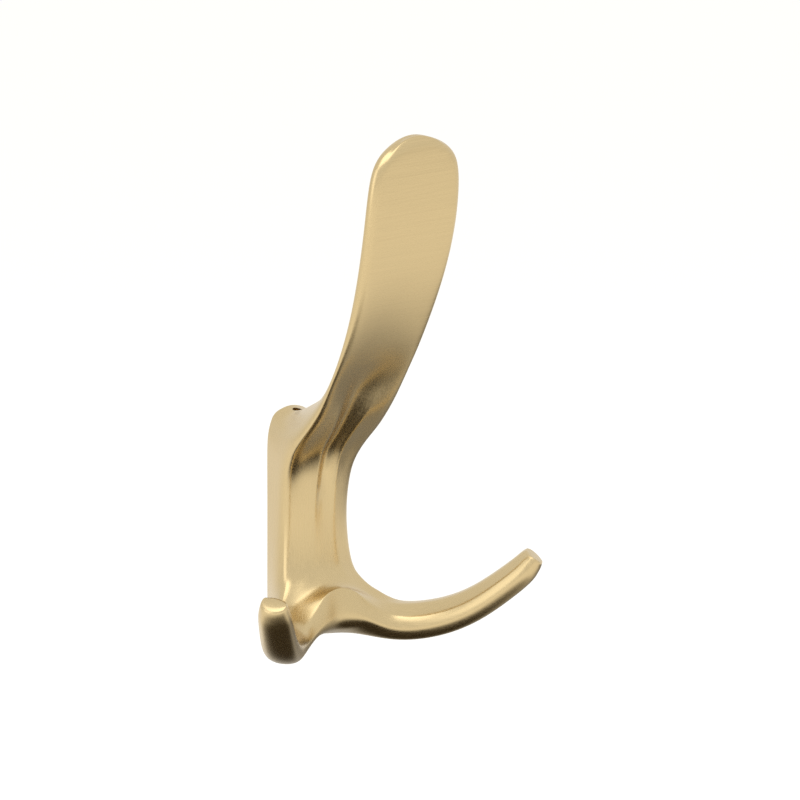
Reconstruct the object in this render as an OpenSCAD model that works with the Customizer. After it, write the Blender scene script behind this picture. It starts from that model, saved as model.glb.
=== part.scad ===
// Triple prong wall hook: one casting with an oblong boss against the wall, a wide blade that
// sweeps up and forward, and two prongs that part at the foot of the stem and curve up.
// X runs along the wall, the wall is the plane Y = 0, the front is towards -Y and Z is up.
// The origin is the middle of the boss's flat back.
//
// The casting is one smooth skin. Its cage of four-sided faces is set out in rows of points, and
// two rounds of smooth subdivision round it, with creases that keep its ridges and edges.

/* [Boss] */
// Width of the boss at the wall
boss_w = 15.2; // [13:0.1:17]
// Height of the boss at the wall
boss_h = 60; // [57:0.5:63]

/* [Stem] */
// Width across the stem's side edges
stem_w = 20.6; // [18:0.1:23]
// Depth from the wall to the side edges
edge_d = 10; // [9:0.1:11.5]
// Depth from the wall to the front facet
stem_d = 12.9; // [12:0.1:14.5]
// Width of the front facet
facet_w = 6.6; // [5:0.1:8]

/* [Blade] */
// Height of the blade's tip above the boss
blade_rise = 78.3; // [70:0.5:86]
// Depth from the wall to the middle of the blade near its tip
blade_reach = 49; // [44:0.5:54]
// Width of the blade at its widest
blade_w = 29.4; // [26:0.1:33]
// Thickness of the blade near its tip
blade_t = 4.4; // [3.5:0.1:5.5]

/* [Prongs] */
// Distance between the middles of the prong tips
prong_spread = 83.5; // [76:0.5:90]
// Depth from the wall to the middle of a prong tip
prong_reach = 43.8; // [40:0.5:48]
// Width of a prong where it is lowest
prong_w = 10.2; // [9:0.1:11]
// Thickness of a prong where it is lowest
prong_t = 9.0; // [8:0.1:10]
// Width of a prong near its tip
tip_w = 8.2; // [7:0.1:9]
// Thickness of a prong near its tip
tip_t = 7.2; // [6.5:0.1:8]
// Height of a prong tip above the lowest middle of the prong
tip_rise = 15.2; // [13:0.5:18]

/* [Fixing holes] */
// Diameter of the two slanted fixing holes
hole_d = 2.4; // [2:0.1:3]
// Depth from the wall to the middle of a hole's mouth
hole_inset = 2.6; // [2.4:0.1:3.2]
// Distance from the boss's end to the middle of a hole's mouth
hole_drop = 1.0; // [0.8:0.1:1.4]
// Slope of the holes above the horizontal, in degrees
hole_slope = 66; // [64:1:70]

/* [Hidden] */

// Derived sizes
top_z = boss_h / 2;
edge_lead = stem_d - edge_d;
// How far a drilled hole's cutter runs past the casting
overrun = 6;
round_fn = 48;

// A point given by its place along the wall, its depth from the wall and its height
function at(x, d, z) = [x, -d, z];
function mix(a, b, share) = a + (b - a) * share;
function mix3(a, b, s) = [mix(a.x, b.x, s[0]), mix(a.y, b.y, s[1]), mix(a.z, b.z, s[2])];

// Heights are shares of the blade's rise above the boss's top, and of the boss's height below it.
// Depths are shares of the way from the stem's side edge to the blade's full reach, and widths
// are shares of the way from the stem's to the blade's.
function height(share) = top_z + share * (share > 0 ? blade_rise : boss_h);
function reach(share) = mix(edge_d, blade_reach, share);
function half_w(share) = mix(stem_w / 2, blade_w / 2, share);
function half_facet(share) = mix(facet_w / 2, blade_w / 2, share);

// Rows of the blade from its tip down: height, reach, half width, half width of the face, how
// far the face and the back stand off the blade's middle in shares of its thickness, how far the
// row sags at its sides, and how far the middle of the face is dished
blade_shares = [
    [1.008, 0.998, -0.60, 0.20, 0.30, 0.30, 0.030, 0.00],
    [0.975, 1.002, 0.44, 0.44, 0.55, 0.55, 0.035, 0.00],
    [0.890, 0.998, 1.00, 0.76, 0.56, 0.52, 0.012, 0.00],
    [0.720, 0.962, 1.07, 0.86, 0.56, 0.54, 0.000, 0.00],
    [0.550, 0.882, 0.92, 0.82, 0.58, 0.62, 0.000, 0.02],
    [0.385, 0.768, 0.68, 0.72, 0.50, 0.64, 0.000, 0.12],
    [0.240, 0.653, 0.59, 0.55, 0.14, 0.82, 0.000, 0.32]
];
// The rim's place between the blade's middle and its face or back, the back's half width, the
// most of the width that the face takes, and the bevel's place between the face and the rim
rim_share = 0.45;
back_share = 0.6;
face_share = 0.9;
bevel_shares = [0.6, 0.35];

// Rows of the neck: height, reach, half width, half width between the ridges, the leads of the
// middle, the ridges and the hollows beside them, then the back's height, depth, half width,
// lead and drop at its sides
neck_shares = [
    [0.140, 0.542, 0.62, 0.34, -1.05, -0.52, -0.15, 0.130, 0.45, 0.45, 0.05, 0.01],
    [0.065, 0.460, 0.62, 0.19, -1.05, -0.46, -0.15, 0.066, 0.30, 0.40, 0.05, 0.02],
    [0.001, 0.366, 0.70, 0.07, -0.80, -0.18, -0.10, 0.030, 0.18, 0.34, 0.03, 0.03],
    [-0.080, 0.260, 0.78, 0.03, -0.66, -0.06, -0.30, -0.008, 0.08, 0.30, 0.01, 0.035]
];
// The flank's place between the side edge and the back
neck_flank_shares = [0.15, 0.35, 0.35];

// Rows of the stem: height, reach, half width, half width between the ridges, the leads of the
// middle, the ridges and the hollows beside them, then the height and half width of the boss's
// wall face, and its drop at its sides
stem_shares = [
    [-0.150, 0.164, 0.74, -0.020, -0.48, 0.08, -0.26, 0.008, 0.72, 0.032],
    [-0.215, 0.090, 0.48, -0.020, 0.06, 0.62, 0.10, -0.095, 1.00, 0.000],
    [-0.290, 0.038, 0.26, -0.025, 0.46, 0.98, 0.62, -0.210, 1.01, 0.000],
    [-0.470, 0.004, 0.11, 0.000, 0.94, 1.02, 0.75, -0.450, 1.00, 0.000]
];
// The flank's place between the wall face and the side edge
stem_flank_shares = [0.62, 0.58, 0.55];
// The hollow's place between the ridge and the side edge
hollow_share = 0.45;

// Rows where the stem turns forward into the prongs, as points from the middle of the front
// round the right side to the back: shares of half the stem's width, of its depth and of the
// boss's height below its top
turn_shares = [
    [
        [0.00, 1.045, 0.668],
        [0.43, 1.045, 0.664],
        [0.78, 0.945, 0.667],
        [1.15, 0.870, 0.675],
        [1.06, 0.480, 0.733],
        [0.75, 0.000, 0.783],
        [0.00, 0.000, 0.783]
    ],
    [
        [0.00, 1.200, 0.714],
        [0.62, 1.135, 0.717],
        [0.97, 1.040, 0.726],
        [1.31, 0.960, 0.728],
        [1.18, 0.550, 0.817],
        [0.74, 0.000, 0.883],
        [0.00, 0.000, 0.883]
    ]
];

// Rows where the prongs part, as points in the same shares that run on along the underside. The
// first lies half on the middle plane, where the prongs meet under an arch.
part_shares = [
    [
        [0.00, 1.470, 0.738],
        [0.91, 1.225, 0.773],
        [1.22, 1.130, 0.776],
        [1.515, 1.078, 0.769],
        [1.38, 0.650, 0.875],
        [0.62, 0.000, 0.983],
        [0.00, 0.000, 1.013],
        [0.00, 0.620, 0.967],
        [0.00, 1.580, 0.933],
        [0.00, 1.520, 0.825]
    ],
    [
        [0.48, 1.530, 0.757],
        [1.10, 1.287, 0.803],
        [1.38, 1.194, 0.799],
        [1.65, 1.140, 0.787],
        [1.575, 0.775, 0.888],
        [0.97, 0.388, 0.975],
        [0.44, 0.388, 1.003],
        [0.41, 0.970, 0.968],
        [0.39, 1.643, 0.925],
        [0.42, 1.628, 0.842]
    ],
    [
        [0.80, 1.600, 0.823],
        [1.32, 1.410, 0.830],
        [1.55, 1.310, 0.819],
        [1.785, 1.225, 0.806],
        [1.765, 0.900, 0.900],
        [1.26, 0.760, 0.967],
        [0.85, 0.853, 0.971],
        [0.81, 1.318, 0.965],
        [0.79, 1.700, 0.915],
        [0.79, 1.700, 0.880]
    ]
];

// Where a prong is lowest: shares of half the spread, of the way from the stem's front to the
// tip's depth, and of the boss's height below its top
low_shares = [0.455, 0.256, 0.931];

// Rows along a prong: run from its lowest place to its tip, width and thickness from the lowest
// place's to the tip's, and how far its top leans to the near side
prong_shares = [
    [-0.04, 0.05, 0.27],
    [0.30, 0.18, 0.25],
    [0.62, 0.58, 0.20],
    [0.97, 0.90, 0.12],
    [1.07, 1.90, 0.08]
];

// Section of a prong, round the ring from the near edge of its top: shares of half the width
// towards the near side, and of half the thickness towards the top
section_shares = [
    [0.86, 0.62],
    [0.05, 0.98],
    [-0.40, 0.98],
    [-0.84, 0.92],
    [-1.12, 0.10],
    [-0.82, -0.86],
    [0.00, -1.16],
    [0.82, -0.86],
    [1.10, -0.25],
    [1.08, 0.25]
];

// Points of a row run from the middle of the front to the side edge, and round the flank to the
// middle of the back or of the wall face
function blade_row(s) = let(
    z = height(s[0]),
    d = reach(s[1]),
    w = half_w(s[2]),
    front = d + s[4] * blade_t,
    back = d - s[5] * blade_t,
    sag = s[6] * blade_rise,
    face = at(min(half_facet(s[3]), face_share * w), front, z - sag / 2),
    rim = at(w, mix(d, front, rim_share), z - sag)
) [
    at(0, front - s[7] * blade_t, z),
    face,
    at(mix(face.x, rim.x, bevel_shares[0]), -mix(face.y, rim.y, bevel_shares[1]), z - sag),
    rim,
    at(w, mix(d, back, rim_share), z - sag),
    at(back_share * w, back, z - sag / 2),
    at(0, back, z)
];

// The front of the neck or the stem, from its middle to its side edge
function front_points(z, d, w, ridge, leads) = [
    at(0, d + leads[0] * edge_lead, z),
    at(ridge, d + leads[1] * edge_lead, z),
    at(mix(ridge, w, hollow_share), d + leads[2] * edge_lead, z),
    at(w, d, z)
];

function neck_row(s) = let(
    front = front_points(height(s[0]), reach(s[1]), half_w(s[2]), half_facet(s[3]),
        [s[4], s[5], s[6]]),
    back = s[8] * blade_reach,
    back_z = height(s[7]),
    side = at(s[9] * boss_w, back + s[10] * blade_reach, back_z - s[11] * boss_h)
) concat(front, [mix3(front[3], side, neck_flank_shares), side, at(0, back, back_z)]);

function stem_row(s) = let(
    front = front_points(height(s[0]), reach(s[1]), half_w(s[2]), half_facet(s[3]),
        [s[4], s[5], s[6]]),
    wall_z = height(s[7]),
    wall = at(s[8] * boss_w / 2, 0, wall_z - s[9] * boss_h)
) concat(front, [mix3(wall, front[3], stem_flank_shares), wall, at(0, 0, wall_z)]);

function junction_row(row) = [
    for (s = row) at(s[0] * stem_w / 2, s[1] * stem_d, top_z - s[2] * boss_h)
];

// A prong runs straight out in plan, and its middle rises along an arc from its lowest place
low = at(
    low_shares[0] * prong_spread / 2,
    mix(stem_d, prong_reach, low_shares[1]),
    top_z - low_shares[2] * boss_h
);
tip = at(prong_spread / 2, prong_reach, low.z + tip_rise);
prong_run = norm([tip.x - low.x, tip.y - low.y]);
out = [(tip.x - low.x) / prong_run, (tip.y - low.y) / prong_run, 0];
near = [out.y, -out.x, 0];
rise_dir = [0, 0, 1];
curl_r = (prong_run * prong_run + tip_rise * tip_rise) / (2 * tip_rise);

function prong_row(s) = let(
    run = s[0] * prong_run,
    a = asin(run / curl_r),
    middle = low + run * out + curl_r * (1 - cos(a)) * rise_dir,
    up = cos(a) * rise_dir - sin(a) * out,
    w = mix(prong_w, tip_w, s[1]) / 2,
    t = mix(prong_t, tip_t, s[1]) / 2
) [
    for (p = section_shares) middle + p[0] * w * near + (p[1] - s[2] * max(0, p[0])) * t * up
];

// The cage's rows: half rings on the right half of the body, and then whole rings round the
// right prong
body_rows = concat(
    [for (s = blade_shares) blade_row(s)],
    [for (s = neck_shares) neck_row(s)],
    [for (s = stem_shares) stem_row(s)],
    [for (s = turn_shares) junction_row(s)]
);
prong_rows = concat(
    [for (s = part_shares) junction_row(s)],
    [for (s = prong_shares) prong_row(s)]
);
half = len(body_rows[0]);
ring = len(prong_rows[0]);
first_neck = len(blade_shares);
first_stem = first_neck + len(neck_shares);
split = len(body_rows);
last_row = split + len(prong_rows) - 1;
blade_end = at(0, reach(blade_shares[0][1]), height(blade_shares[0][0]));
right_points = concat(
    [for (r = body_rows) each r],
    [for (r = prong_rows) each r],
    [blade_end]
);
n_right = len(right_points);

function id(row, j) =
    row < split ? row * half + j : split * half + (row - split) * ring + j % ring;
function quad(row, j) = [id(row, j), id(row + 1, j), id(row + 1, j + 1), id(row, j + 1)];

// Faces of the right half, counterclockwise seen from outside: the blade's tip, closed to a
// point between its front and its back, then the body, the prong and the prong's tip
right_faces = concat(
    [for (j = [0, 2, 4]) [id(0, j), id(0, j + 1), id(0, j + 2), n_right - 1]],
    [for (row = [0:split - 1], j = [0:half - 2]) quad(row, j)],
    [for (row = [split:last_row - 1], j = [0:ring - 1]) quad(row, j)],
    [for (j = [0:ring / 2 - 2])
        [for (k = [j + ring - 1, ring - 2 - j, ring - 3 - j, j]) id(last_row, k)]]
);

// The left half mirrors the right one, and shares the points on the middle plane
function mirror_id(i) = right_points[i].x == 0 ? i : i + n_right;
cage_points = concat(right_points, [for (p = right_points) [-p.x, p.y, p.z]]);
cage_faces = concat(
    right_faces,
    [for (f = right_faces) [for (k = [3:-1:0]) mirror_id(f[k])]]
);

// Creases, as pairs of points with a sharpness: for how many rounds they stay sharp
function chain(j, from, to, sharp) =
    [for (row = [from:to - 1]) [id(row, j), id(row + 1, j), sharp]];
soft_rounds = 1;
sharp_rounds = 2;
right_creases = concat(
    // Round the boss's wall face, and round the edge of its top
    chain(half - 2, first_stem, split, sharp_rounds),
    [for (row = [first_stem, split]) [id(row, half - 2), id(row, half - 1), sharp_rounds]],
    chain(half - 2, first_neck + 2, first_stem, soft_rounds),
    // Along the ridges of the neck and the stem, which run on along the middle of each prong
    chain(1, first_neck, first_stem + 3, sharp_rounds),
    chain(1, first_stem + 3, last_row, soft_rounds),
    // Along the far edge of each prong's top
    chain(3, split + 2, last_row, soft_rounds),
    // Over the arch between the prongs, and along their near edges
    chain(0, split, last_row, sharp_rounds),
    // Round the end of each prong
    [for (row = [last_row - 1, last_row], j = [0:ring - 1])
        [id(row, j), id(row, j + 1), soft_rounds]],
    // Round the blade's face
    chain(1, 1, 5, soft_rounds),
    [[id(1, 0), id(1, 1), soft_rounds]]
);
creases = concat(
    right_creases,
    [for (c = right_creases) [mirror_id(c[0]), mirror_id(c[1]), c[2]]]
);

// Smooth subdivision. A mesh is its points, its four-sided faces as one flat list of corners,
// each corner's twin and each corner's sharpness. The edge of corner h runs to the next corner
// of its face, and its twin is the corner from which the same edge runs back.
function next(h) = h % 4 == 3 ? h - 3 : h + 1;
function prev(h) = h % 4 == 0 ? h + 3 : h - 1;

function cage_mesh() = let(
    corner = [for (f = cage_faces) each f],
    n = len(cage_points),
    forward = [for (h = [0:len(corner) - 1]) corner[h] * n + corner[next(h)]],
    backward = [for (h = [0:len(corner) - 1]) corner[next(h)] * n + corner[h]],
    twin = search(backward, forward),
    crease_keys = [for (c = creases) each [c[0] * n + c[1], c[1] * n + c[0]]],
    sharp = [for (k = search(forward, crease_keys)) is_num(k) ? creases[floor(k / 2)][2] : 0]
) [cage_points, corner, twin, sharp];

// The corners at one point, in turn round it
function fan(twin, h, start, list = []) =
    len(list) > 0 && h == start ? list : fan(twin, twin[prev(h)], start, concat(list, [h]));

// One corner at each point, or -1 where none is
function first_corner(corner, n_points) =
    [for (k = search([for (v = [0:n_points - 1]) v], corner)) is_num(k) ? k : -1];

function sum(list, i = 0, total = [0, 0, 0]) =
    i == len(list) ? total : sum(list, i + 1, total + list[i]);
function mean(list) = sum(list) / len(list);

// One round: a new point in each face and on each edge, and each old point moved
function refine(mesh) = let(
    points = mesh[0],
    corner = mesh[1],
    twin = mesh[2],
    sharp = mesh[3],
    n_points = len(points),
    n_faces = len(corner) / 4,
    corners = [0:len(corner) - 1],
    // How many edges come before each corner's, with each edge counted at its first corner
    before = [for (h = 0, n = 0; h < len(corner); n = n + (h < twin[h] ? 1 : 0), h = h + 1) n],
    face_point = [
        for (f = [0:n_faces - 1]) mean([for (k = [0:3]) points[corner[4 * f + k]]])
    ],
    edge_point = [
        for (h = corners) if (h < twin[h])
            let(ends = mean([points[corner[h]], points[corner[next(h)]]]))
            sharp[h] > 0 ? ends
                : mean([ends, mean([face_point[floor(h / 4)], face_point[floor(twin[h] / 4)]])])
    ],
    edge_id = [for (h = corners) n_points + n_faces + before[min(h, twin[h])]],
    first = first_corner(corner, n_points),
    moved = [
        for (v = [0:n_points - 1])
            let(
                around = first[v] < 0 ? [] : fan(twin, first[v], first[v]),
                n = len(around),
                hard = [for (h = around) if (sharp[h] > 0) points[corner[next(h)]]]
            )
            n == 0 || len(hard) > 2 ? points[v]
                : len(hard) == 2 ? mix(points[v], mean(hard), 1 / 4)
                : let(
                    faces = mean([for (h = around) face_point[floor(h / 4)]]),
                    edges = mean([for (h = around) (points[v] + points[corner[next(h)]]) / 2])
                ) (faces + 2 * edges + (n - 3) * points[v]) / n
    ],
    new_corner = [
        for (h = corners) each [corner[h], edge_id[h], n_points + floor(h / 4), edge_id[prev(h)]]
    ],
    new_twin = [
        for (h = corners)
            each [4 * next(twin[h]) + 3, 4 * next(h) + 2, 4 * prev(h) + 1, 4 * twin[prev(h)]]
    ],
    new_sharp = [
        for (h = corners) each [max(0, sharp[h] - 1), 0, 0, max(0, sharp[prev(h)] - 1)]
    ]
) [concat(moved, face_point, edge_point), new_corner, new_twin, new_sharp];

module smooth_body() {
    mesh = refine(refine(cage_mesh()));
    corner = mesh[1];
    // Each four-sided face as two triangles, clockwise seen from outside
    polyhedron(
        points = mesh[0],
        faces = [
            for (f = [0:len(corner) / 4 - 1], k = [1, 2])
                [corner[4 * f + k + 1], corner[4 * f + k], corner[4 * f]]
        ]
    );
}

// One hole, drilled down and back from its mouth on the boss's end through to the wall face
module fixing_hole() {
    translate(at(0, hole_inset, top_z - hole_drop)) rotate([90 - hole_slope, 0, 0])
        cylinder(
            h = 2 * (hole_inset / cos(hole_slope) + overrun),
            d = hole_d,
            center = true,
            $fn = round_fn
        );
}

module hook() {
    color("#cdb985") difference() {
        smooth_body();
        fixing_hole();
        mirror([0, 0, 1]) fixing_hole();
    }
}

hook();
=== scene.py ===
import math

import bpy
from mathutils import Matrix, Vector


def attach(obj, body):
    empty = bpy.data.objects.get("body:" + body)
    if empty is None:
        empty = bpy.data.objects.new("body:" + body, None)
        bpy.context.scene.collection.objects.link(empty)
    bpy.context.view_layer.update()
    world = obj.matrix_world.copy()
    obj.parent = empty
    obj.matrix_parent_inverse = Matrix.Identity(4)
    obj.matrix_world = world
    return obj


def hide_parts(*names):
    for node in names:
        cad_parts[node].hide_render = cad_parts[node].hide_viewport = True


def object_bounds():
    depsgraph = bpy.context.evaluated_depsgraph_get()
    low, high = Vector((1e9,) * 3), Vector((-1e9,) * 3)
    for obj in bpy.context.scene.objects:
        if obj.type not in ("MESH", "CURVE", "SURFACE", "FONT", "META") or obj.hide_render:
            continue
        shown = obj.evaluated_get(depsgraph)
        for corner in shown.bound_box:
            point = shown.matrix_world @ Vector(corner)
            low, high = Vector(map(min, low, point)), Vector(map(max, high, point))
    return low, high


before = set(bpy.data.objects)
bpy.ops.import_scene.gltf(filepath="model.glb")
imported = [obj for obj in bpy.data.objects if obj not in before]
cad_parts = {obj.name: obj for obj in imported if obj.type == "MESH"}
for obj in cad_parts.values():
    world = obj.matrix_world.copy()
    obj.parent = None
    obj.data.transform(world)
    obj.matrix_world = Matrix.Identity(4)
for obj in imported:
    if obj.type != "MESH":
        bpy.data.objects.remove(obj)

bl_info = {
    "name": "Brushed Wall Hook",
    "version": (1, 0, 0),
    "blender": (4, 5, 0),
    "location": "3D View > Sidebar > Wall Hook",
    "description": "Dresses a cast wall hook in brushed champagne-gold plating on a plain stage",
    "category": "Object",
}

MM = 0.001
CAD_BOX = [list(corner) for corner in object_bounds()]

# The photograph's width in pixels, and how many pixels show a millimetre of the hook
PHOTO_WIDTH = 800
PIXELS_PER_MM = 3.94

# The wall face's normal has at least this share of its length towards the wall
WALL_SQUARENESS = 0.999

# The shallow channel down the front of the neck, in millimetres: height on the hook, half its
# width there, and the share of its full depth that it has there
CHANNEL = [
    (47.0, 7.6, 0.0), (39.0, 6.4, 0.6), (31.0, 4.9, 1.0),
    (22.0, 3.8, 1.0), (15.0, 3.2, 0.8), (8.0, 3.0, 0.0),
]


def linear(hex_colour):
    """An sRGB hex colour as linear red, green and blue."""
    parts = [int(hex_colour[i:i + 2], 16) / 255 for i in (1, 3, 5)]
    return [p / 12.92 if p <= 0.04045 else ((p + 0.055) / 1.055) ** 2.4 for p in parts]


class CastingSettings(bpy.types.PropertyGroup):
    """Sizes of the casting's skin."""

    weld: bpy.props.FloatProperty(
        name="Weld",
        description="Points of the casting closer than this become one",
        default=0.01 * MM, min=0.0, precision=6, subtype="DISTANCE", unit="LENGTH")
    smooth_levels: bpy.props.IntProperty(
        name="Smooth levels",
        description="Rounds of smoothing that the casting's skin gets",
        default=1, min=0, max=2)
    pair_angles: bpy.props.FloatVectorProperty(
        name="Pair angles",
        description="Two triangles become one four-sided face if the fold between them is under "
                    "the first angle, and its corners are within the second of square",
        default=(math.radians(35), math.radians(60)), size=2, min=0.0, max=math.pi,
        unit="ROTATION")
    hard_angle: bpy.props.FloatProperty(
        name="Hard angle",
        description="Edges sharper than this stay hard, such as the wall face's rim",
        default=math.radians(38), min=0.0, max=math.pi, subtype="ANGLE", unit="ROTATION")
    channel_depth: bpy.props.FloatProperty(
        name="Channel depth", description="How much the neck's channel is deepened",
        default=0.9 * MM, min=0.0, precision=5, subtype="DISTANCE", unit="LENGTH")
    channel_front: bpy.props.FloatProperty(
        name="Channel front",
        description="The channel is only on faces this far from the wall, and so not on the boss",
        default=10 * MM, min=0.0, precision=4, subtype="DISTANCE", unit="LENGTH")
    channel_facing: bpy.props.FloatProperty(
        name="Channel facing",
        description="The channel is only on faces whose normal has this share away from the wall",
        default=0.15, min=0.0, max=1.0, subtype="FACTOR")


class PlatingSettings(bpy.types.PropertyGroup):
    """Look of the brushed plating."""

    colour: bpy.props.FloatVectorProperty(
        name="Colour", description="Colour that the plating reflects",
        default=linear("#cdb78a"), size=3, min=0.0, max=1.0, subtype="COLOR")
    roughness: bpy.props.FloatProperty(
        name="Roughness", description="Roughness of the brushed plating",
        default=0.28, min=0.0, max=1.0, subtype="FACTOR")
    marks_roughness: bpy.props.FloatProperty(
        name="Marks' roughness", description="How much a brush mark adds to or takes off roughness",
        default=0.05, min=0.0, max=0.2, subtype="FACTOR")
    cloud_roughness: bpy.props.FloatProperty(
        name="Cloud roughness", description="The same for a patch of the lacquer's unevenness",
        default=0.03, min=0.0, max=0.2, subtype="FACTOR")
    cloud_width: bpy.props.FloatProperty(
        name="Cloud width", description="Width of a patch of the lacquer's unevenness",
        default=15 * MM, min=1 * MM, precision=4, subtype="DISTANCE", unit="LENGTH")
    marks_shade: bpy.props.FloatVectorProperty(
        name="Marks' shade", description="Brightness of the darkest and the palest brush marks",
        default=(0.95, 1.04), size=2, min=0.0, max=2.0)
    anisotropy: bpy.props.FloatProperty(
        name="Anisotropy", description="How far reflections are drawn out across the brushing",
        default=0.35, min=0.0, max=1.0, subtype="FACTOR")
    streak_gap: bpy.props.FloatProperty(
        name="Streak gap", description="Distance between brush marks",
        default=0.3 * MM, min=0.05 * MM, precision=5, subtype="DISTANCE", unit="LENGTH")
    streak_length: bpy.props.FloatProperty(
        name="Streak length", description="Length of a brush mark",
        default=22 * MM, min=1 * MM, precision=4, subtype="DISTANCE", unit="LENGTH")
    streak_depth: bpy.props.FloatProperty(
        name="Streak depth", description="Depth of a brush mark",
        default=0.0015 * MM, min=0.0, precision=6, subtype="DISTANCE", unit="LENGTH")
    neck_turn: bpy.props.FloatVectorProperty(
        name="Neck turn", description="Heights between which the brushing turns to run across",
        default=(42 * MM, 54 * MM), size=2, precision=4, unit="LENGTH")
    foot_turn: bpy.props.FloatVectorProperty(
        name="Foot turn", description="Heights between which it turns to run along the prongs",
        default=(-18 * MM, -12 * MM), size=2, precision=4, unit="LENGTH")


class StageSettings(bpy.types.PropertyGroup):
    """Studio, floor, card, lamps and camera."""

    azimuth: bpy.props.FloatProperty(
        name="Azimuth", description="Camera's angle round the hook from its front",
        default=math.radians(-40), subtype="ANGLE", unit="ROTATION")
    elevation: bpy.props.FloatProperty(
        name="Elevation", description="Camera's angle above the horizon",
        default=math.radians(12.5), subtype="ANGLE", unit="ROTATION")
    lens: bpy.props.FloatProperty(
        name="Lens", description="Focal length in millimetres, long as for a product photograph",
        default=1000.0, min=20.0, unit="CAMERA")
    frame_width: bpy.props.FloatProperty(
        name="Frame width", description="Width of the view at the hook",
        default=PHOTO_WIDTH / PIXELS_PER_MM * MM, min=10 * MM, precision=4,
        subtype="DISTANCE", unit="LENGTH")
    target: bpy.props.FloatVectorProperty(
        name="Target", description="Place at the middle of the view",
        default=(0.0, -43.6 * MM, 38.75 * MM), size=3, precision=4,
        subtype="TRANSLATION", unit="LENGTH")
    clip_range: bpy.props.FloatVectorProperty(
        name="Clip range", description="Nearest and farthest distance that the camera shows",
        default=(0.01, 100.0), size=2, min=0.001, unit="LENGTH")
    floor_size: bpy.props.FloatProperty(
        name="Floor size", description="Length and width of the floor",
        default=40.0, min=1.0, subtype="DISTANCE", unit="LENGTH")
    floor_drop: bpy.props.FloatProperty(
        name="Floor drop", description="Distance from the hook's lowest point to the floor",
        default=60 * MM, min=0.0, precision=4, subtype="DISTANCE", unit="LENGTH")
    floor_colour: bpy.props.FloatVectorProperty(
        name="Floor colour", description="Colour of the pale floor",
        default=linear("#f4f2ee"), size=3, min=0.0, max=1.0, subtype="COLOR")
    floor_glow: bpy.props.FloatProperty(
        name="Floor glow", description="Light that brings the floor up to white where it is seen",
        default=0.22, min=0.0)
    # The card's colour and spots are painted shade, which only reflections see
    card_shade_colour: bpy.props.FloatVectorProperty(
        name="Card colour", description="Colour of the dark spots on the card below the hook",
        default=linear("#3f382e"), size=3, min=0.0, max=1.0, subtype="COLOR")
    card_radius: bpy.props.FloatProperty(
        name="Card radius", description="Radius of the card, which is dark only in two spots",
        default=600 * MM, min=10 * MM, precision=4, subtype="DISTANCE", unit="LENGTH")
    card_lift: bpy.props.FloatProperty(
        name="Card lift", description="Height of the card above the floor",
        default=2 * MM, min=0.1 * MM, precision=4, subtype="DISTANCE", unit="LENGTH")
    low_shade_spot: bpy.props.FloatVectorProperty(
        name="Low spot",
        description="The card's dark spot below the hook: its middle from above, the radius "
                    "within which it is all dark, and the radius at which it has faded out",
        default=(-6 * MM, -43 * MM, 48 * MM, 150 * MM), size=4, precision=4, unit="LENGTH")
    side_shade_spot: bpy.props.FloatVectorProperty(
        name="Side spot", description="The spot on the hook's right, in the same terms",
        default=(205 * MM, 40 * MM, 60 * MM, 230 * MM), size=4, precision=4, unit="LENGTH")
    side_share: bpy.props.FloatProperty(
        name="Side share", description="Share of the floor's colour that the side spot keeps",
        default=0.2, min=0.0, max=1.0, subtype="FACTOR")
    world_strength: bpy.props.FloatProperty(
        name="World strength", description="Brightness of the white studio round the hook",
        default=0.85, min=0.0)
    lamp_size: bpy.props.FloatProperty(
        name="Lamp size", description="Width of each softbox",
        default=0.7, min=0.01, subtype="DISTANCE", unit="LENGTH")
    key_place: bpy.props.FloatVectorProperty(
        name="Key place", description="Place of the large lamp above the hook",
        default=(-0.25, -0.35, 0.75), size=3, subtype="TRANSLATION", unit="LENGTH")
    key_power: bpy.props.FloatProperty(
        name="Key power", description="Power of the large lamp above the hook",
        default=2.0, min=0.0, unit="POWER")
    fill_place: bpy.props.FloatVectorProperty(
        name="Fill place", description="Place of the large lamp to the hook's left",
        default=(-0.9, -0.2, 0.25), size=3, subtype="TRANSLATION", unit="LENGTH")
    fill_power: bpy.props.FloatProperty(
        name="Fill power", description="Power of the large lamp to the hook's left",
        default=1.1, min=0.0, unit="POWER")


def add(tree, kind, values=None, links=None, **settings):
    """Adds a node to a material's or the world's tree, with its settings, values and links."""
    node = tree.nodes.new(kind)
    for name, value in settings.items():
        setattr(node, name, value)
    for key, value in (values or {}).items():
        node.inputs[key].default_value = value
    for key, source in (links or {}).items():
        tree.links.new(source, node.inputs[key])
    return node


def new_tree(block):
    """A material's or world's empty node tree."""
    block.use_nodes = True
    block.node_tree.nodes.clear()
    return block.node_tree


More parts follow.
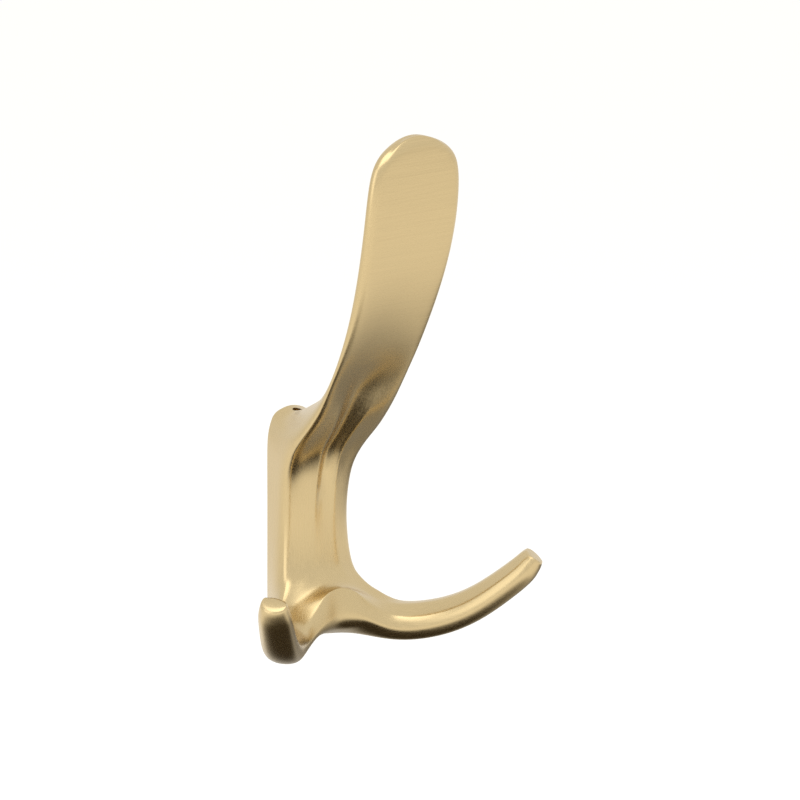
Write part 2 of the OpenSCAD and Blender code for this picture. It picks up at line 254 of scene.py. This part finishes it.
def brush_marks(tree, place):
    """Brush marks, from 0 to 1: across the blade, up and down the stem, along the prongs."""
    look = bpy.context.scene.hook_plating
    split = add(tree, "ShaderNodeSeparateXYZ", links={"Vector": place})
    x, y, z = (split.outputs[k] for k in "XYZ")
    side = add(tree, "ShaderNodeMath", links={0: x}, operation="ABSOLUTE").outputs[0]

    # Distance along a prong and across it in plan: both prongs run out at 45 degrees
    along = add(tree, "ShaderNodeMath", links={0: side, 1: y}, operation="SUBTRACT").outputs[0]
    across = add(tree, "ShaderNodeMath", links={0: side, 1: y}, operation="ADD").outputs[0]

    fine, coarse = 1 / look.streak_gap, 1 / look.streak_length
    streaks = []
    for name, axes, scale in (
        ("Blade marks", (x, y, z), (coarse, fine, fine)),
        ("Stem marks", (x, y, z), (fine, fine, coarse)),
        ("Prong marks", (along, across, z), (coarse, fine, fine)),
    ):
        spot = add(tree, "ShaderNodeCombineXYZ", links=dict(zip("XYZ", axes))).outputs[0]
        turned = add(
            tree, "ShaderNodeMapping", values={"Scale": scale}, links={"Vector": spot})
        streaks.append(add(
            tree, "ShaderNodeTexNoise",
            values={"Scale": 1.0, "Detail": 2.0, "Roughness": 0.6},
            links={"Vector": turned.outputs[0]}, label=name).outputs["Fac"])

    # Above the foot's turn the stem's marks take over from the prongs', and above the neck's
    # turn the blade's marks take over from both
    blade_marks, stem_marks, marks = streaks
    for (low, high), upper_marks in ((look.foot_turn, stem_marks), (look.neck_turn, blade_marks)):
        above = add(
            tree, "ShaderNodeMapRange", values={"From Min": low, "From Max": high},
            links={"Value": z}, interpolation_type="SMOOTHSTEP").outputs[0]
        marks = add(
            tree, "ShaderNodeMix", links={0: above, 2: marks, 3: upper_marks}).outputs[0]
    return marks


def brushed_gold_plating():
    """Champagne-gold plating on a zinc casting, brushed with a fine belt and lacquered.

    The belt leaves marks about a tenth of a millimetre apart, which draw each reflection out
    into a soft satin band. They are drawn coarser here, because the real ones are finer than a
    pixel. The lacquer's broad, faint unevenness makes the satin a little patchy.
    """
    look = bpy.context.scene.hook_plating
    material = bpy.data.materials.new("brushed_gold_plating")
    tree = new_tree(material)
    place = add(tree, "ShaderNodeTexCoord").outputs["Object"]
    marks = brush_marks(tree, place)

    # Noise seldom leaves its middle part, which is stretched to the whole range
    middle = {"From Min": 0.3, "From Max": 0.7}
    darkest, palest = look.marks_shade
    shade = add(
        tree, "ShaderNodeMapRange", values={**middle, "To Min": darkest, "To Max": palest},
        links={"Value": marks}).outputs[0]
    rough_marks = add(
        tree, "ShaderNodeMapRange",
        values={**middle, "To Min": look.roughness - look.marks_roughness,
                "To Max": look.roughness + look.marks_roughness},
        links={"Value": marks}).outputs[0]
    cloud = add(
        tree, "ShaderNodeTexNoise", values={"Scale": 1 / look.cloud_width, "Detail": 1.0},
        links={"Vector": place}).outputs["Fac"]
    rough_cloud = add(
        tree, "ShaderNodeMath",
        values={1: 2 * look.cloud_roughness, 2: -look.cloud_roughness}, links={0: cloud},
        operation="MULTIPLY_ADD").outputs[0]
    rough = add(
        tree, "ShaderNodeMath", links={0: rough_marks, 1: rough_cloud},
        operation="ADD").outputs[0]
    colour = add(
        tree, "ShaderNodeMix", values={0: 1.0, 6: (*look.colour, 1)},
        links={7: shade}, data_type="RGBA", blend_type="MULTIPLY").outputs[2]
    bump = add(
        tree, "ShaderNodeBump",
        values={"Strength": 1.0, "Distance": look.streak_depth},
        links={"Height": marks}).outputs[0]
    tangent = add(tree, "ShaderNodeTangent", direction_type="RADIAL", axis="Z").outputs[0]
    shader = add(
        tree, "ShaderNodeBsdfPrincipled",
        values={"Metallic": 1.0, "Anisotropic": look.anisotropy},
        links={"Base Color": colour, "Roughness": rough, "Normal": bump, "Tangent": tangent})
    add(tree, "ShaderNodeOutputMaterial", links={"Surface": shader.outputs[0]})
    return material


def deselect():
    """Leaves nothing selected, in object mode."""
    if bpy.context.object and bpy.context.object.mode != "OBJECT":
        bpy.ops.object.mode_set(mode="OBJECT")
    bpy.ops.object.select_all(action="DESELECT")


def apply_modifier(piece, name, kind, **settings):
    """Adds a modifier with its settings to the active piece, and applies it."""
    modifier = piece.modifiers.new(name, kind)
    for key, value in settings.items():
        setattr(modifier, key, value)
    bpy.ops.object.modifier_apply(modifier=modifier.name)


def on_wall(face):
    """Whether a face lies in the plane of the wall."""
    sizes = bpy.context.scene.hook_casting
    return face.normal.y > WALL_SQUARENESS and face.center.y > -sizes.weld


def crease_hard_edges(casting):
    """Creases the casting's sharp edges in edit mode, and leaves it in object mode.

    The wall face's rim is creased all round, also where a sloping hole runs out of it at an
    angle that isn't sharp.
    """
    bpy.ops.mesh.select_all(action="DESELECT")
    bpy.ops.mesh.select_mode(type="EDGE")
    bpy.ops.mesh.edges_select_sharp(sharpness=bpy.context.scene.hook_casting.hard_angle)
    bpy.ops.transform.edge_crease(value=1.0)
    bpy.ops.mesh.select_all(action="DESELECT")
    bpy.ops.mesh.select_mode(type="FACE")
    bpy.ops.object.mode_set(mode="OBJECT")
    for face in casting.data.polygons:
        face.select = on_wall(face)
    bpy.ops.object.mode_set(mode="EDIT")
    bpy.ops.mesh.region_to_loop()
    bpy.ops.transform.edge_crease(value=1.0)
    bpy.ops.object.mode_set(mode="OBJECT")


def channel_share(place, normal):
    """Share of the channel's depth by which a point of the casting's skin is sunk."""
    sizes = bpy.context.scene.hook_casting
    if place.y >= -sizes.channel_front or normal.y >= -sizes.channel_facing:
        return 0.0
    for (high, w_high, share_high), (low, w_low, share_low) in zip(CHANNEL, CHANNEL[1:]):
        if low * MM <= place.z < high * MM:
            way = (place.z / MM - low) / (high - low)
            width = (w_low + (w_high - w_low) * way) * MM
            near = max(0.0, 1 - abs(place.x) / width)
            return (share_low + (share_high - share_low) * way) * near * near * (3 - 2 * near)
    return 0.0


def sink_channel(casting):
    """Sinks the neck's channel into the casting's skin."""
    channel = casting.vertex_groups.new(name="neck_channel")
    for vertex in casting.data.vertices:
        share = channel_share(vertex.co, vertex.normal)
        if share:
            channel.add([vertex.index], share, "REPLACE")
    apply_modifier(
        casting, "Neck channel", "DISPLACE", vertex_group=channel.name,
        strength=-bpy.context.scene.hook_casting.channel_depth, mid_level=0.0)


class HOOK_OT_casting(bpy.types.Operator):
    """Make the casting's smooth, plated skin"""

    bl_idname = "object.hook_casting"
    bl_label = "Casting"

    def execute(self, context):
        sizes = context.scene.hook_casting
        deselect()
        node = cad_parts["hook"]
        casting = node.copy()
        casting.data = node.data.copy()
        casting.name = casting.data.name = "plated_casting"
        context.collection.objects.link(casting)
        context.view_layer.objects.active = casting
        casting.select_set(True)

        # Weld the loose triangles, and pair them back into the cage's four-sided faces
        bpy.ops.object.mode_set(mode="EDIT")
        bpy.ops.mesh.select_all(action="SELECT")
        bpy.ops.mesh.remove_doubles(threshold=sizes.weld)
        fold, skew = sizes.pair_angles
        bpy.ops.mesh.tris_convert_to_quads(face_threshold=fold, shape_threshold=skew)

        crease_hard_edges(casting)
        apply_modifier(
            casting, "Smooth skin", "SUBSURF",
            levels=sizes.smooth_levels, render_levels=sizes.smooth_levels)
        sink_channel(casting)
        bpy.ops.object.shade_smooth_by_angle(angle=sizes.hard_angle)
        for face in casting.data.polygons:
            if on_wall(face):
                face.use_smooth = False

        casting.data.materials.clear()
        casting.data.materials.append(brushed_gold_plating())
        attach(casting, "root")
        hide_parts("hook")
        deselect()
        return {"FINISHED"}


def seen_or_reflected(tree):
    """1 for rays from the camera, a reflection or a clear piece, and 0 for the rest."""
    ray = add(tree, "ShaderNodeLightPath")
    either = add(
        tree, "ShaderNodeMath",
        links={0: ray.outputs["Is Camera Ray"], 1: ray.outputs["Is Glossy Ray"]},
        operation="MAXIMUM").outputs[0]
    return add(
        tree, "ShaderNodeMath",
        links={0: either, 1: ray.outputs["Is Transmission Ray"]},
        operation="MAXIMUM").outputs[0]


def white_studio():
    """The white studio round the hook, pure white where the camera or a reflection sees it."""
    stage = bpy.context.scene.hook_stage
    world = bpy.data.worlds.new("white_studio")
    bpy.context.scene.world = world
    tree = new_tree(world)
    lit = add(
        tree, "ShaderNodeBackground",
        values={"Color": (1, 1, 1, 1), "Strength": stage.world_strength})
    seen = add(tree, "ShaderNodeBackground", values={"Color": (1, 1, 1, 1), "Strength": 1.0})
    shown = add(
        tree, "ShaderNodeMixShader",
        links={0: seen_or_reflected(tree), 1: lit.outputs[0], 2: seen.outputs[0]})
    add(tree, "ShaderNodeOutputWorld", links={"Surface": shown.outputs[0]})


def stage_paint(name, spots=()):
    """Matt pale studio paint, white where it is seen, with dark spots of painted shade if it is a
    card's.

    A spot is its middle and two radii, dark within the first and faded out at the second, and
    the share of the floor's colour that it keeps.
    """
    stage = bpy.context.scene.hook_stage
    material = bpy.data.materials.new(name)
    tree = new_tree(material)
    glow = add(
        tree, "ShaderNodeMath", values={1: stage.floor_glow},
        links={0: seen_or_reflected(tree)}, operation="MULTIPLY").outputs[0]
    paint = add(
        tree, "ShaderNodeBsdfPrincipled",
        values={"Base Color": (*stage.floor_colour, 1), "Roughness": 0.9,
                "Specular IOR Level": 0.0, "Emission Color": (1, 1, 1, 1)},
        links={"Emission Strength": glow})
    share = None
    for (across, out, dark, pale), kept in spots:
        place = add(tree, "ShaderNodeTexCoord").outputs["Object"]
        away = add(
            tree, "ShaderNodeVectorMath", values={1: (across, out, 0)}, links={0: place},
            operation="DISTANCE").outputs["Value"]
        spot = add(
            tree, "ShaderNodeMapRange",
            values={"From Min": dark, "From Max": pale, "To Min": kept},
            links={"Value": away}, interpolation_type="SMOOTHSTEP").outputs[0]
        share = spot if share is None else add(
            tree, "ShaderNodeMath", links={0: share, 1: spot}, operation="MULTIPLY").outputs[0]
    # Within the spots the card's colour and glow fade to painted shade
    if share:
        colour = add(
            tree, "ShaderNodeMix",
            values={6: (*stage.card_shade_colour, 1), 7: (*stage.floor_colour, 1)},
            links={0: share}, data_type="RGBA").outputs[2]
        dimmed = add(
            tree, "ShaderNodeMath", links={0: glow, 1: share}, operation="MULTIPLY").outputs[0]
        tree.links.new(colour, paint.inputs["Base Color"])
        tree.links.new(dimmed, paint.inputs["Emission Strength"])
    add(tree, "ShaderNodeOutputMaterial", links={"Surface": paint.outputs[0]})
    return material


def flat_piece(name, material, make, **size):
    """A flat piece of the stage, made by a primitive operator."""
    deselect()
    make(**size)
    piece = bpy.context.object
    piece.name = piece.data.name = name
    piece.data.materials.append(material)
    return piece


def soft_lamp(name, place, power):
    """A square softbox at a place, aimed at the middle of the view."""
    stage = bpy.context.scene.hook_stage
    deselect()
    bpy.ops.object.light_add(type="AREA", location=place)
    lamp = bpy.context.object
    lamp.name = lamp.data.name = name
    lamp.data.shape = "SQUARE"
    lamp.data.size = stage.lamp_size
    lamp.data.energy = power
    aim = Vector(stage.target) - Vector(place)
    lamp.rotation_euler = aim.to_track_quat("-Z", "Y").to_euler()


def photo_camera():
    """The camera, as far round the hook and as high as in the photograph."""
    stage = bpy.context.scene.hook_stage
    deselect()
    back = Vector((
        math.sin(stage.azimuth) * math.cos(stage.elevation),
        -math.cos(stage.azimuth) * math.cos(stage.elevation),
        math.sin(stage.elevation)))
    bpy.ops.object.camera_add()
    camera = bpy.context.object
    camera.name = camera.data.name = "photo_camera"
    camera.data.lens = stage.lens
    distance = stage.frame_width * stage.lens / camera.data.sensor_width
    camera.location = Vector(stage.target) + back * distance
    camera.rotation_euler = (-back).to_track_quat("-Z", "Y").to_euler()
    camera.data.clip_start, camera.data.clip_end = stage.clip_range
    bpy.context.scene.camera = camera


class HOOK_OT_stage(bpy.types.Operator):
    """Make the studio, the floor, the shade card, the lamps and the camera"""

    bl_idname = "scene.hook_stage"
    bl_label = "Stage"

    def execute(self, context):
        stage = context.scene.hook_stage
        context.scene.view_settings.view_transform = "Standard"
        white_studio()
        floor_z = CAD_BOX[0][2] - stage.floor_drop
        flat_piece(
            "floor", stage_paint("pale_floor"), bpy.ops.mesh.primitive_plane_add,
            size=stage.floor_size, location=(0, 0, floor_z))

        # Only reflections see the card, whose spots of painted shade darken the neck and the
        # prongs' undersides
        spots = (stage.low_shade_spot, 0.0), (stage.side_shade_spot, stage.side_share)
        card = flat_piece(
            "shade_card", stage_paint("shade_card", spots), bpy.ops.mesh.primitive_circle_add,
            vertices=64, radius=stage.card_radius, fill_type="NGON",
            location=(0, 0, floor_z + stage.card_lift))
        card.visible_camera = card.visible_diffuse = card.visible_shadow = False

        soft_lamp("key_lamp", stage.key_place, stage.key_power)
        soft_lamp("fill_lamp", stage.fill_place, stage.fill_power)
        photo_camera()
        deselect()
        return {"FINISHED"}


class HOOK_PT_panel(bpy.types.Panel):
    """Lists the hook's pieces and their settings"""

    bl_idname = "HOOK_PT_panel"
    bl_label = "Wall Hook"
    bl_space_type = "VIEW_3D"
    bl_region_type = "UI"
    bl_category = "Wall Hook"

    def draw(self, context):
        layout = self.layout
        for operator, groups in (
            (HOOK_OT_casting, (context.scene.hook_casting, context.scene.hook_plating)),
            (HOOK_OT_stage, (context.scene.hook_stage,)),
        ):
            box = layout.box()
            for group in groups:
                for name in group.__annotations__:
                    box.prop(group, name)
            box.operator(operator.bl_idname)


CLASSES = (
    CastingSettings, PlatingSettings, StageSettings,
    HOOK_OT_casting, HOOK_OT_stage, HOOK_PT_panel,
)


def register():
    """Registers the classes, and puts the settings on the scene."""
    for cls in CLASSES:
        bpy.utils.register_class(cls)
    bpy.types.Scene.hook_casting = bpy.props.PointerProperty(type=CastingSettings)
    bpy.types.Scene.hook_plating = bpy.props.PointerProperty(type=PlatingSettings)
    bpy.types.Scene.hook_stage = bpy.props.PointerProperty(type=StageSettings)


def unregister():
    """Takes the settings off the scene, and the classes out."""
    for name in ("hook_casting", "hook_plating", "hook_stage"):
        delattr(bpy.types.Scene, name)
    for cls in reversed(CLASSES):
        bpy.utils.unregister_class(cls)


def main():
    """Makes the hook and its stage."""
    register()
    bpy.ops.object.hook_casting()
    bpy.ops.scene.hook_stage()


if __name__ == "__main__":
    main()
